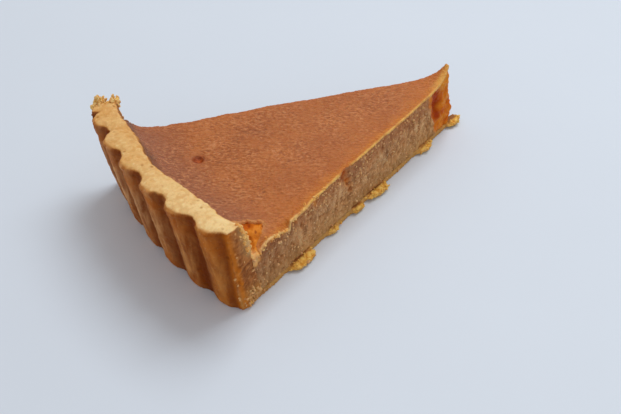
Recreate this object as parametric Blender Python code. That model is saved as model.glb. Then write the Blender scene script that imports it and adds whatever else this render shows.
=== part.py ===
"""One slice of a sugar tart: a fluted shortcrust shell round a set sugar filling.

The slice stands as it was cut. Its tip points to +X and the fluted wall is at -X. The near cut
faces -Y, the far cut faces +Y, and the underside lies at Z = 0, below the middle of the slice.

Every shape is worked out in the tart's own polar frame: the radius from the tip's axis, the
bearing from the slice's midline (positive towards the near cut) and the height.
"""

import math
import random

import bmesh
import bpy
from mathutils import Matrix, Vector, noise

MM = 0.001

# Driving dimensions: a tenth of a tart from a fluted 25 cm tin
SLICE_ANGLE = math.radians(36.74)
HALF_ANGLE = SLICE_ANGLE / 2
RIM_RADIUS = 125.0 * MM
WALL_HEIGHT = 32.9 * MM
WALL_THICKNESS = 9.5 * MM
WALL_LEAN = 6.5 * MM
BASE_THICKNESS = 2.3 * MM
FIT_GAP = 0.3 * MM

# Flutes of the tin: lobes a little broader than the hollows between them, with steep sides
FLUTE_PITCH = math.radians(5.78)
HOLLOW_AT_NEAR_CUT = math.radians(17.95)
FLUTE_DEPTH_AT_RIM = 3.1 * MM
FLUTE_DEPTH_AT_FOOT = 1.4 * MM
FLUTE_STEEPNESS = 1.5
LOBE_BREADTH = 0.25
FLUTE_UNEVENNESS = 0.2

# Wall section: the inside curves in towards the base, and the rim's edges are rounded
INNER_RADIUS_AT_RIM = RIM_RADIUS - WALL_THICKNESS
INNER_LEAN = 8.5 * MM
INNER_CURVE = 1.3
INNER_WAVE = 0.75 * MM
INNER_WAVE_PITCH = math.radians(16.5)
RIM_EDGE_DROP = 1.5 * MM
RIM_CROWN_HEIGHT = 4.0 * MM
RIM_CROWN_FLATNESS = 6
FOOT_ROUNDING = 0.4 * MM
FOOT_ROUNDING_HEIGHT = 2.0 * MM

# Filling surface: level, sinking a little before it climbs the wall, and drawn up at the tip
FILLING_LEVEL = 20.0 * MM
FILLING_RISE_TO_TIP = 1.3 * MM
DIP_DEPTH_NEAR = 1.4 * MM
DIP_DEPTH_FAR = 0.85 * MM
DIP_RADIUS = 96.5 * MM
DIP_WIDTH = 12.0 * MM
CLIMB_HEIGHT = 3.6 * MM
CLIMB_LENGTH = 3.2 * MM
CLIMB_STARTS_INSIDE = 12.0 * MM
PEAK_HEIGHT = 7.4 * MM
PEAK_LENGTH = 3.9 * MM

# Tip: blunt at the foot, torn back at the top
TIP_RADIUS = 1.4 * MM
TIP_SETBACK = 2.6 * MM
TIP_PINCH = 1.2 * MM
TIP_SETBACK_FROM = 9.0 * MM
TIP_SETBACK_TO = 17.0 * MM
TIP_PINCH_FROM = 19.0 * MM
TIP_PINCH_TO = 27.0 * MM
TIP_PINCH_REACH = 12.0 * MM

# Torn places, each as (radius, place, reach, depth): the scoop's place is its distance inside the
# near cut, the pit's is its bearing in degrees, and the pocket's and the gouge's is their height
CORNER_SCOOP = (111.0 * MM, 3.2 * MM, 7.0 * MM, 3.6 * MM)
BUBBLE_PIT = (97.4 * MM, -6.3, 1.9 * MM, 1.1 * MM)
TIP_POCKET = (11.0 * MM, 13.5 * MM, 4.6 * MM, 1.9 * MM)
CUT_GOUGE = (66.0 * MM, 18.0 * MM, 3.2 * MM, 1.3 * MM)

# Relief of each surface, and the size of its lumps
CUT_RELIEF = 0.5 * MM
CUT_LUMP = 5.0 * MM
CUT_LUMP_STRETCH = 0.45
CRUST_RELIEF = 0.7 * MM
CRUST_LUMP = 4.0 * MM
BASE_EDGE_RELIEF = 0.42 * MM
RIM_RELIEF = 0.3 * MM
RIM_LUMP = 7.0 * MM
SKIN_RELIEF = 0.15 * MM
SKIN_LUMP = 9.0 * MM
FLUTE_LUMP = 14.0 * MM

# The relief of the cuts fades away towards the tip, the foot of the wall and the inside
CALM_TIP = 20.0 * MM
CALM_FOOT = 4.0 * MM
RELIEF_REACH = 6.0 * MM

# Ends of the wall: set back at the near cut's outer corner, and torn into two prongs at the far
# end. Places and spacings are shares of the wall's thickness.
CORNER_SETBACK = 0.9 * MM
TORN_RELIEF = 2.6 * MM
TORN_FROM_HEIGHT = 0.6 * WALL_HEIGHT
PRONG_PLACE = 0.08
PRONG_SPACING = 0.56
PRONG_SHARE = 0.75
OUTER_PRONG_LOSS = 1.6

# Flakes of the base crust that stick out under the near cut:
# distance from the tip, half length, how far they stick out and thickness
FLAKES = (
    (90.8 * MM, 5.7 * MM, 3.6 * MM, 2.0 * MM),
    (73.3 * MM, 3.3 * MM, 1.4 * MM, 1.6 * MM),
    (59.4 * MM, 3.7 * MM, 2.0 * MM, 2.0 * MM),
    (48.2 * MM, 5.4 * MM, 2.9 * MM, 2.1 * MM),
    (18.6 * MM, 4.4 * MM, 2.1 * MM, 1.8 * MM),
    (-1.2 * MM, 4.4 * MM, 2.6 * MM, 2.1 * MM),
)
FLAKE_SEED = 7.3

# Crumbs that cling to the crust: at the torn far end of the rim, and on the near cut, where each
# has its distance from the tip and its height
CRUMB_SEED = 4
CRUMB_RAGGEDNESS = 0.35
FAR_END_CRUMBS = 9
FAR_END_CRUMB_DROP = (0.4 * MM, 4.0 * MM)
FAR_END_CRUMB_REACH = (-0.6 * MM, 1.2 * MM)
FAR_END_CRUMB_PLACE = (0.12, 0.8)
NEAR_CUT_CRUMBS = (
    (118.0 * MM, 17.0 * MM),
    (117.2 * MM, 11.5 * MM),
    (113.4 * MM, 7.2 * MM),
    (110.9 * MM, 4.4 * MM),
    (114.2 * MM, 1.6 * MM),
)
CRUMB_SIZES = (0.8 * MM, 1.4 * MM)

# Mesh steps: plain radii and heights before the slice is shaped
WALL_FOOT_RADIUS = 107.0 * MM
WALL_COLUMNS = (0.0, 0.1, 0.34, 0.66, 0.9, 1.0)
SHELL_STATIONS = 63
FILLING_STATIONS = 24
BASE_COLUMNS = 44
FILLING_COLUMNS = 42
FILLING_ROWS = 7
WALL_ROWS = 11
MERGE_DISTANCE = 0.25 * MM


def clear_scene():
    for item in list(bpy.data.objects):
        bpy.data.objects.remove(item, do_unlink=True)


def smooth_step(value, low, high):
    share = min(max((value - low) / (high - low), 0.0), 1.0)
    return share * share * (3.0 - 2.0 * share)


def bump(distance, reach):
    """1 in the middle of a round patch, falling smoothly to 0 at its reach."""
    return 1.0 - smooth_step(distance, 0.0, reach)


def polar_point(radius, bearing, height):
    return Vector((-radius * math.cos(bearing), -radius * math.sin(bearing), height))


def rough(along, across, size, seed):
    """Smooth unevenness between -1 and 1, with lumps of about the given size."""
    coarse = noise.noise(Vector((along / size, across / size, seed)))
    fine = noise.noise(Vector((2.3 * along / size, 2.3 * across / size, seed + 5.0)))
    return coarse + 0.5 * fine


def flute(bearing):
    """1 on the crest of a lobe and 0 in the hollow; the near cut runs close to a hollow."""
    turns = (HOLLOW_AT_NEAR_CUT - bearing) / FLUTE_PITCH
    wave = math.tanh(FLUTE_STEEPNESS * (LOBE_BREADTH - math.cos(2.0 * math.pi * turns)))
    lowest = math.tanh(FLUTE_STEEPNESS * (LOBE_BREADTH - 1.0))
    highest = math.tanh(FLUTE_STEEPNESS * (LOBE_BREADTH + 1.0))
    return (wave - lowest) / (highest - lowest)


def outer_radius(bearing, height):
    share = height / WALL_HEIGHT
    crest = RIM_RADIUS - WALL_LEAN * (1.0 - share)
    depth = FLUTE_DEPTH_AT_FOOT + (FLUTE_DEPTH_AT_RIM - FLUTE_DEPTH_AT_FOOT) * share
    depth *= 1.0 + FLUTE_UNEVENNESS * rough(bearing * RIM_RADIUS, height, FLUTE_LUMP, 1.0)
    foot = FOOT_ROUNDING * bump(height, FOOT_ROUNDING_HEIGHT)
    return crest - depth * (1.0 - flute(bearing)) - foot


def inner_radius(bearing, height):
    share = min(max(height / WALL_HEIGHT, 0.0), 1.0)
    wave = INNER_WAVE * math.cos(2.0 * math.pi * bearing / INNER_WAVE_PITCH)
    return INNER_RADIUS_AT_RIM + wave - INNER_LEAN * (1.0 - share) ** INNER_CURVE


def filling_top(radius, bearing):
    """Height of the filling's skin above the underside of the slice."""
    wall = inner_radius(bearing, FILLING_LEVEL)
    rise = FILLING_RISE_TO_TIP * (1.0 - radius / wall)
    near_share = 0.5 + 0.5 * bearing / HALF_ANGLE
    deepest = DIP_DEPTH_FAR + (DIP_DEPTH_NEAR - DIP_DEPTH_FAR) * near_share
    dip = deepest * math.exp(-(((radius - DIP_RADIUS) / DIP_WIDTH) ** 2))
    climb = CLIMB_HEIGHT * math.exp((radius - wall) / CLIMB_LENGTH)
    peak = PEAK_HEIGHT * math.exp((TIP_SETBACK - radius) / PEAK_LENGTH)
    skin = SKIN_RELIEF * rough(radius, bearing * radius, SKIN_LUMP, 3.0)

    near_gap = radius * (HALF_ANGLE - bearing)
    scoop_radius, scoop_inset, scoop_reach, scoop_depth = CORNER_SCOOP
    scoop = scoop_depth * bump(math.hypot(radius - scoop_radius, near_gap - scoop_inset), scoop_reach)
    pit_radius, pit_bearing, pit_reach, pit_depth = BUBBLE_PIT
    pit_gap = math.hypot(radius - pit_radius, radius * (bearing - math.radians(pit_bearing)))
    pit = pit_depth * bump(pit_gap, pit_reach)
    corner_climb = climb * bump(near_gap, CLIMB_STARTS_INSIDE)
    return FILLING_LEVEL + rise - dip + climb - corner_climb + peak + skin - scoop - pit


def tip_start(height):
    """Radius where the slice begins at its tip, at a height."""
    return TIP_RADIUS + TIP_SETBACK * smooth_step(height, TIP_SETBACK_FROM, TIP_SETBACK_TO)


def calm_at_tip(radius):
    return min(radius / CALM_TIP, 1.0)


def near_cut_relief(radius, height):
    """How far the filling's near cut stands out, with its gouge and the pocket at the tip."""
    crumbs = CUT_RELIEF * calm_at_tip(radius) * rough(radius, CUT_LUMP_STRETCH * height, CUT_LUMP, 11.0)
    pocket_radius, pocket_height, pocket_reach, pocket_depth = TIP_POCKET
    pocket_gap = math.hypot(radius - pocket_radius, 0.6 * (height - pocket_height))
    pocket = pocket_depth * bump(pocket_gap, pocket_reach)
    gouge_radius, gouge_height, gouge_reach, gouge_depth = CUT_GOUGE
    gouge_gap = math.hypot(radius - gouge_radius, 0.5 * (height - gouge_height))
    gouge = gouge_depth * bump(gouge_gap, gouge_reach)
    pinch = TIP_PINCH * smooth_step(height, TIP_PINCH_FROM, TIP_PINCH_TO) * bump(radius, TIP_PINCH_REACH)
    return crumbs - pocket - gouge - pinch


def far_cut_relief(radius, height):
    return CUT_RELIEF * calm_at_tip(radius) * rough(radius, CUT_LUMP_STRETCH * height, CUT_LUMP, 12.0)


def near_crust_relief(across, radius, height):
    """Broken face of the crust at the near cut, set back at its outer corner."""
    corner = -CORNER_SETBACK * smooth_step(across, 0.6, 1.0)
    return corner + CRUST_RELIEF * rough(radius, height, CRUST_LUMP, 13.0)


def far_crust_relief(across, radius, height):
    """Torn end of the crust: two ragged prongs at the rim with a notch between them."""
    at_rim = smooth_step(height, TORN_FROM_HEIGHT, WALL_HEIGHT)
    prongs = PRONG_SHARE * math.cos(2.0 * math.pi * (across - PRONG_PLACE) / PRONG_SPACING)
    outer_loss = OUTER_PRONG_LOSS * smooth_step(across, 0.75, 1.0)
    torn = TORN_RELIEF * at_rim * (prongs - outer_loss)
    return torn + CRUST_RELIEF * rough(radius, height, CRUST_LUMP, 14.0)


def shifted_by_cuts(point, radius, bearing, near_relief, far_relief):
    """Moves a point with the relief of the cuts, which fades away inside the slice."""
    reach = min(RELIEF_REACH, 0.98 * radius * SLICE_ANGLE)
    near_share = max(0.0, 1.0 - radius * (HALF_ANGLE - bearing) / reach)
    far_share = max(0.0, 1.0 - radius * (HALF_ANGLE + bearing) / reach)
    near_out = Vector((math.sin(HALF_ANGLE), -math.cos(HALF_ANGLE), 0.0))
    far_out = Vector((math.sin(HALF_ANGLE), math.cos(HALF_ANGLE), 0.0))
    return point + near_out * near_share * near_relief + far_out * far_share * far_relief


def shape_shell(radius, bearing, height):
    """Carries a point of the plain shell to its place on the real one."""
    if radius < WALL_FOOT_RADIUS - 0.01 * MM:
        share = (radius - TIP_RADIUS) / (WALL_FOOT_RADIUS - TIP_RADIUS)
        place = TIP_RADIUS + share * (inner_radius(bearing, height) - TIP_RADIUS)
        edge = BASE_EDGE_RELIEF * calm_at_tip(place)
        near = edge * rough(place, 0.0, CRUST_LUMP, 15.0)
        far = edge * rough(place, 0.0, CRUST_LUMP, 16.0)
        return shifted_by_cuts(polar_point(place, bearing, height), place, bearing, near, far)

    across = (radius - WALL_FOOT_RADIUS) / WALL_THICKNESS
    inner = inner_radius(bearing, height)
    place = inner + across * (outer_radius(bearing, height) - inner)
    at_rim = smooth_step(height, WALL_HEIGHT - RIM_CROWN_HEIGHT, WALL_HEIGHT)
    crown = -RIM_EDGE_DROP * abs(2.0 * across - 1.0) ** RIM_CROWN_FLATNESS
    uneven = RIM_RELIEF * rough(place * bearing, place, RIM_LUMP, 17.0)
    top = height + at_rim * (crown + uneven)
    near = near_crust_relief(across, place, top)
    far = far_crust_relief(across, place, top)
    near *= smooth_step(height, -CALM_FOOT, CALM_FOOT)
    far *= smooth_step(height, -CALM_FOOT, CALM_FOOT)
    return shifted_by_cuts(polar_point(place, bearing, top), place, bearing, near, far)


def shape_filling(radius, bearing, height):
    """Carries a point of the plain filling to its place between the base and the skin."""
    bottom = BASE_THICKNESS + FIT_GAP
    across = (radius - TIP_RADIUS) / (WALL_FOOT_RADIUS - TIP_RADIUS)
    level = bottom + height
    for _ in range(3):
        start = tip_start(level)
        end = inner_radius(bearing, level) - FIT_GAP
        place = start + across * (end - start)
        level = bottom + (filling_top(place, bearing) - bottom) * height / FILLING_LEVEL
    near = near_cut_relief(place, level)
    far = far_cut_relief(place, level)
    return shifted_by_cuts(polar_point(place, bearing, level), place, bearing, near, far)


def spaced(first, last, count):
    return [first + (last - first) * step / count for step in range(count + 1)]


def closer_at_ends(first, last, count):
    """Steps that are half as long at both ends as on average."""
    turns = [2.0 * math.pi * step / count for step in range(count + 1)]
    return [first + (last - first) * (turn - 0.5 * math.sin(turn)) / (2.0 * math.pi) for turn in turns]


def spun_section(radii, heights, cells, stations):
    """A section drawn cell by cell on the far cut, then spun round the tip to the near cut."""
    bm = bmesh.new()
    corners = {}
    for column, row in cells:
        loop = ((column, row), (column + 1, row), (column + 1, row + 1), (column, row + 1))
        for corner in loop:
            if corner not in corners:
                corners[corner] = bm.verts.new(polar_point(radii[corner[0]], -HALF_ANGLE, heights[corner[1]]))
        bm.faces.new([corners[corner] for corner in loop])
    section = bm.verts[:] + bm.edges[:] + bm.faces[:]
    bmesh.ops.spin(bm, geom=section, axis=(0, 0, 1), cent=(0, 0, 0), angle=SLICE_ANGLE, steps=stations)
    return bm


def shape_points(bm, shape):
    for vert in bm.verts:
        radius = math.hypot(vert.co.x, vert.co.y)
        bearing = math.atan2(-vert.co.y, -vert.co.x)
        vert.co = shape(radius, bearing, vert.co.z)


def join_flat_faces(bm, level):
    """Turns the many faces that lie flat at one height into a single one."""
    near = 0.001 * MM
    flat = [face for face in bm.faces if all(abs(vert.co.z - level) < near for vert in face.verts)]
    bmesh.ops.dissolve_faces(bm, faces=flat, use_verts=True)


def finish_solid(bm, name, material):
    bmesh.ops.remove_doubles(bm, verts=bm.verts, dist=MERGE_DISTANCE)
    bmesh.ops.recalc_face_normals(bm, faces=bm.faces)
    mesh = bpy.data.meshes.new(name)
    bm.to_mesh(mesh)
    bm.free()
    mesh.materials.append(material)
    solid = bpy.data.objects.new(name, mesh)
    bpy.context.collection.objects.link(solid)
    return solid


def make_material(name, colour, roughness):
    material = bpy.data.materials.new(name)
    material.use_nodes = True
    shader = material.node_tree.nodes["Principled BSDF"]
    shader.inputs["Base Color"].default_value = (*colour, 1.0)
    shader.inputs["Roughness"].default_value = roughness
    shader.inputs["Metallic"].default_value = 0.0
    return material


def make_shell():
    """Fluted wall and thin base of shortcrust, as one L-shaped section round the tip."""
    radii = spaced(TIP_RADIUS, WALL_FOOT_RADIUS, BASE_COLUMNS)
    radii += [WALL_FOOT_RADIUS + WALL_THICKNESS * share for share in WALL_COLUMNS[1:]]
    heights = [0.0] + spaced(BASE_THICKNESS, WALL_HEIGHT, WALL_ROWS)
    base_cells = [(column, 0) for column in range(BASE_COLUMNS)]
    wall_cells = [
        (column, row)
        for column in range(BASE_COLUMNS, BASE_COLUMNS + len(WALL_COLUMNS) - 1)
        for row in range(len(heights) - 1)
    ]
    bm = spun_section(radii, heights, base_cells + wall_cells, SHELL_STATIONS)
    shape_points(bm, shape_shell)
    join_flat_faces(bm, 0.0)
    join_flat_faces(bm, BASE_THICKNESS)
    crust = make_material("shortcrust", (0.60, 0.36, 0.13), 0.75)
    return finish_solid(bm, "pastry_shell", crust)


def make_filling():
    """Set sugar filling that fills the shell up to its skin."""
    radii = closer_at_ends(TIP_RADIUS, WALL_FOOT_RADIUS, FILLING_COLUMNS)
    heights = spaced(0.0, FILLING_LEVEL, FILLING_ROWS)
    cells = [(column, row) for column in range(FILLING_COLUMNS) for row in range(FILLING_ROWS)]
    bm = spun_section(radii, heights, cells, FILLING_STATIONS)
    shape_points(bm, shape_filling)
    join_flat_faces(bm, BASE_THICKNESS + FIT_GAP)
    sugar = make_material("sugar_filling", (0.40, 0.15, 0.05), 0.45)
    return finish_solid(bm, "filling", sugar)


def make_lump(place, size, seed):
    """A ragged lump of crust, with its half size in the three directions of its place."""
    bm = bmesh.new()
    bmesh.ops.create_icosphere(bm, subdivisions=2, radius=1.0)
    for vert in bm.verts:
        vert.co *= 1.0 + CRUMB_RAGGEDNESS * noise.noise(1.7 * vert.co + Vector((seed, 0.0, 0.0)))
        vert.co.z = min(max(vert.co.z, -1.0), 1.0)
    bmesh.ops.scale(bm, vec=size, verts=bm.verts)
    bmesh.ops.transform(bm, matrix=place, verts=bm.verts)
    mesh = bpy.data.meshes.new("lump")
    bm.to_mesh(mesh)
    bm.free()
    return bpy.data.objects.new("lump", mesh)


def flakes_at_foot():
    """Flat flakes along the near cut, with their inner half in the base crust."""
    for number, (along, half_length, reach, thickness) in enumerate(FLAKES):
        place = Matrix.Rotation(HALF_ANGLE, 4, "Z") @ Matrix.Translation((-along, 0.0, 0.55 * thickness))
        yield make_lump(place, (half_length, reach, 0.5 * thickness), FLAKE_SEED + number)


def crumbs_on_near_cut(chance):
    for along, height in NEAR_CUT_CRUMBS:
        size = chance.uniform(*CRUMB_SIZES)
        above_foot = max(height, 1.05 * size)
        place = Matrix.Rotation(HALF_ANGLE, 4, "Z") @ Matrix.Translation((-along, 0.3 * MM, above_foot))
        yield make_lump(place, (size, 0.7 * size, 0.8 * size), chance.uniform(0.0, 50.0))


def crumbs_at_far_end(chance):
    for _ in range(FAR_END_CRUMBS):
        size = chance.uniform(*CRUMB_SIZES)
        radius = INNER_RADIUS_AT_RIM + WALL_THICKNESS * chance.uniform(*FAR_END_CRUMB_PLACE)
        height = WALL_HEIGHT - chance.uniform(*FAR_END_CRUMB_DROP)
        beyond = chance.uniform(*FAR_END_CRUMB_REACH)
        place = Matrix.Rotation(-HALF_ANGLE, 4, "Z") @ Matrix.Translation((-radius, beyond, height))
        yield make_lump(place, (size, 1.2 * size, 0.9 * size), chance.uniform(0.0, 50.0))


def fuse_lumps(shell):
    """Joins the flakes and crumbs to the shell in one union."""
    chance = random.Random(CRUMB_SEED)
    crumbs = bpy.data.collections.new("lumps")
    bpy.context.scene.collection.children.link(crumbs)
    for lump in [*flakes_at_foot(), *crumbs_on_near_cut(chance), *crumbs_at_far_end(chance)]:
        crumbs.objects.link(lump)
    union = shell.modifiers.new("lumps", "BOOLEAN")
    union.operation = "UNION"
    union.operand_type = "COLLECTION"
    union.collection = crumbs
    bpy.context.view_layer.update()
    fused = bpy.data.meshes.new_from_object(shell.evaluated_get(bpy.context.evaluated_depsgraph_get()))
    shell.modifiers.clear()
    shell.data = fused
    for lump in list(crumbs.objects):
        bpy.data.objects.remove(lump, do_unlink=True)
    bpy.data.collections.remove(crumbs)


def centre_on_floor(solids):
    """Puts the middle of the slice's box over the origin, with the underside at Z = 0."""
    points = [vert.co for solid in solids for vert in solid.data.vertices]
    low = Vector([min(point[axis] for point in points) for axis in range(3)])
    high = Vector([max(point[axis] for point in points) for axis in range(3)])
    middle = 0.5 * (low + high)
    for solid in solids:
        solid.data.transform(Matrix.Translation((-middle.x, -middle.y, -low.z)))


def main():
    clear_scene()
    shell = make_shell()
    fuse_lumps(shell)
    filling = make_filling()
    centre_on_floor((shell, filling))


main()
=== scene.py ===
import math
import random

import bpy
import numpy as np
from mathutils import Euler, Matrix, Vector, noise


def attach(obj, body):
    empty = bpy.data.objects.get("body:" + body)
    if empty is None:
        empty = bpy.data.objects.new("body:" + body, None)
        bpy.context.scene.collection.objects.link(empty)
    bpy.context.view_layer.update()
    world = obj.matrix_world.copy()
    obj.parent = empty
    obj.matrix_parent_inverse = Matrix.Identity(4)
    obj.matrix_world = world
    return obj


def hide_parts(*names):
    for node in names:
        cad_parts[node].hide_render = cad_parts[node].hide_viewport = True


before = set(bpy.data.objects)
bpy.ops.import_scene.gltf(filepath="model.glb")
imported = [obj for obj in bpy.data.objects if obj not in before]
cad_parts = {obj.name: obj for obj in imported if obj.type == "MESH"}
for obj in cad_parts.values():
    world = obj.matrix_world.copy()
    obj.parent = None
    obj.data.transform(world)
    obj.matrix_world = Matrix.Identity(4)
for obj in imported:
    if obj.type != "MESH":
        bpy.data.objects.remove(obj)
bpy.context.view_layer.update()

# A slice of sugar tart: fluted shortcrust round a set sugar filling with a baked, glossy skin.
# The tip points to +X, the fluted wall is at -X and the near cut faces -Y.

MM = 0.001

# Where the two cuts meet, and the angle from the slice's midline to each cut
TIP_AXIS = Vector((59.74 * MM, -1.47 * MM, 0.0))
HALF_ANGLE = math.radians(18.37)
NEAR_OUT = Vector((math.sin(HALF_ANGLE), -math.cos(HALF_ANGLE), 0.0))
FAR_OUT = Vector((math.sin(HALF_ANGLE), math.cos(HALF_ANGLE), 0.0))

# One flute and its hollow, and the bearing of the hollow beside the near cut
FLUTE_PITCH = math.radians(5.78)
HOLLOW_AT_NEAR_CUT = math.radians(17.95)

# The wall in millimetres: its height, its middle and its inner face as distances from the tip's
# axis, how far that face waves, over which angle, and how far it leans in towards its foot
RIM_HEIGHT = 32.9
WALL_MIDDLE = 116.0
WALL_INNER = 115.5
WALL_WAVE = 0.75
WALL_WAVE_PITCH = math.radians(16.5)
WALL_LEAN = 8.5

# Where the filling ends at the wall's foot, from the tip's axis in millimetres
FILLING_REACH = 107.0

# The edge of the torn near corner in millimetres: distance along the near cut, and inside it
TORN_EDGE = (
    (110.5, -1.0),
    (108.0, 2.5),
    (103.9, 4.0),
    (101.0, 5.7),
    (104.0, 9.0),
    (108.0, 12.0),
    (113.5, 14.5),
)

# Patches of the near cut in millimetres: distance along the cut, height, reach, and strength
GOUGES = ((66.2, 18.0, 2.6, 1.1), (65.0, 14.8, 2.3, 1.0), (63.8, 11.5, 2.0, 0.8),
          (82.8, 18.4, 1.9, 0.7), (92.3, 18.0, 2.1, 0.8))
GROOVES = ((104.0, 18.5, 3.0, 0.5), (112.2, 18.5, 2.2, 1.3), (112.0, 15.5, 2.0, 1.1))
DARK_POCKETS = ((12.6, 18.0, 4.6, 1.6), (11.5, 14.0, 4.2, 1.6), (10.0, 9.5, 3.2, 1.28))

# The sag of the near cut's top edge beside the torn corner, in millimetres: its depth, and the
# distances along the cut where it starts and ends
DROOP_DEPTH = 2.2
DROOP_START = 95.4
DROOP_END = 105.5

# The burst bubble in the skin: distance from the tip's axis in millimetres, and bearing
PIT_RADIUS = 97.4
PIT_BEARING = math.radians(-6.3)

# The two crumbly prongs on the torn far end: distance from the tip's axis in millimetres
PRONG_INNER = 116.6
PRONG_OUTER = 121.3

# The skin's thickness, and the direction of its fine wrinkles
SKIN_THICKNESS = 1.0 * MM
WRINKLE_TURN = math.radians(-36.0)

# The size of a crumb model before it is copied
CRUMB_MODEL_SIZE = 1.0 * MM

# Fineness of the modelled surfaces
CRUST_VOXEL = 0.43 * MM
FILLING_VOXEL = 0.38 * MM
SKIN_VOXEL = 0.38 * MM

# The camera, placed from the tip's axis on the floor
CAMERA_FROM_TIP = Vector((-214.26 * MM, -210.16 * MM, 206.29 * MM))
CAMERA_AZIMUTH = math.radians(-36.06)
CAMERA_ELEVATION = math.radians(39.70)
CAMERA_ROLL = math.radians(0.84)
CAMERA_LENS = 57.97
SENSOR_WIDTH = 36.0

# The floor, the sky, and each soft lamp's place, width, power and colour
FLOOR_SIZE = 3.0
SKY_STRENGTH = 0.52
SKY_COLOUR = (1.0, 0.945, 0.905)
LAMPS = {
    "window": ((0.48, 0.17, 0.92), 0.6, 5.75, (0.92, 0.97, 1.0)),
    "fill": ((-0.6, -0.5, 0.7), 0.8, 0.8, (0.9, 0.95, 1.0)),
}


# Small tools for working on one piece at a time

def deselect_all():
    if bpy.context.mode != "OBJECT":
        bpy.ops.object.mode_set(mode="OBJECT")
    bpy.ops.object.select_all(action="DESELECT")


def take(piece):
    """Makes a piece the only selected and active one."""
    deselect_all()
    bpy.context.view_layer.objects.active = piece
    piece.select_set(True)


def apply_modifier(piece, kind, **settings):
    """Adds a modifier with the given settings and applies it."""
    take(piece)
    modifier = piece.modifiers.new(kind.lower(), kind)
    for key, value in settings.items():
        setattr(modifier, key, value)
    bpy.ops.object.modifier_apply(modifier=modifier.name)


def select_faces(piece, wanted):
    """Goes into edit mode with only the faces chosen by their centre and normal selected."""
    take(piece)
    for polygon in piece.data.polygons:
        polygon.select = wanted(polygon.center, polygon.normal)
    for edge in piece.data.edges:
        edge.select = False
    for vertex in piece.data.vertices:
        vertex.select = False
    bpy.ops.object.mode_set(mode="EDIT")
    bpy.ops.mesh.select_mode(type="FACE")


def copy_of_solid(node, name):
    """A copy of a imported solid, with its loose triangles merged into one closed skin."""
    piece = bpy.data.objects.new(name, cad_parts[node].data.copy())
    piece.data.materials.clear()
    bpy.context.scene.collection.objects.link(piece)
    take(piece)
    bpy.ops.mesh.customdata_custom_splitnormals_clear()
    bpy.ops.object.mode_set(mode="EDIT")
    bpy.ops.mesh.select_all(action="SELECT")
    bpy.ops.mesh.remove_doubles(threshold=0.01 * MM)
    bpy.ops.object.mode_set(mode="OBJECT")
    return piece


def merge_hidden_faces(piece, wanted, angle=25.0):
    """Joins the many small faces of a side that never shows, up to an angle between them."""
    select_faces(piece, wanted)
    bpy.ops.mesh.dissolve_limited(angle_limit=math.radians(angle))
    bpy.ops.object.mode_set(mode="OBJECT")


# Reading and shaping the points of a piece as arrays, in millimetres

def read_points(piece):
    """The points of a piece in millimetres, and the direction that each one faces."""
    count = len(piece.data.vertices)
    points = np.empty(count * 3)
    piece.data.vertices.foreach_get("co", points)
    normals = np.empty(count * 3)
    piece.data.vertex_normals.foreach_get("vector", normals)
    return points.reshape(-1, 3) / MM, normals.reshape(-1, 3)


def write_points(piece, points):
    """Moves the points of a piece to new places, given in millimetres."""
    piece.data.vertices.foreach_set("co", (points * MM).astype(np.float32).ravel())
    piece.data.update()


def store_mask(piece, name, values):
    """Keeps a value from 0 to 1 at each point, for the material to read."""
    mask = piece.data.attributes.new(name, "FLOAT", "POINT")
    mask.data.foreach_set("value", np.clip(values, 0.0, 1.0).astype(np.float32))


def smooth(values, start, end):
    """A soft step: 0 up to the start, which may be the higher value, and 1 from the end on."""
    share = np.clip((values - start) / (end - start), 0.0, 1.0)
    return share * share * (3.0 - 2.0 * share)


def hump(values, middle, reach):
    """A soft ridge: 1 at the middle value, falling away over the reach on both sides."""
    return np.exp(-((values - middle) / reach) ** 2)


def lumps(points, size, seed, stretch=(1.0, 1.0, 1.0), octaves=2.0):
    """Smooth unevenness between about -1 and 1, with lumps of the given size."""
    scaled = points / (np.array(stretch) * size) + seed
    return np.array([noise.fractal(Vector(point), 0.9, 2.1, octaves) for point in scaled])


def gap_to_nearest(points, size, seed):
    """Distance to the nearest of scattered points that lie about one size apart, in sizes."""
    scaled = points / size + seed
    return np.array([noise.voronoi(Vector(point))[0][0] for point in scaled])


def grains(points, size, seed):
    """Packed round grains: 1 on top of a grain and 0 or less between grains."""
    return 1.0 - (gap_to_nearest(points, size, seed) / 0.62) ** 2


def pores(points, size, depth, seed):
    """Scattered small holes: 0 nearly everywhere, down to minus the depth in a hole."""
    return -depth * smooth(-gap_to_nearest(points, size, seed), -0.26, -0.08)


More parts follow.
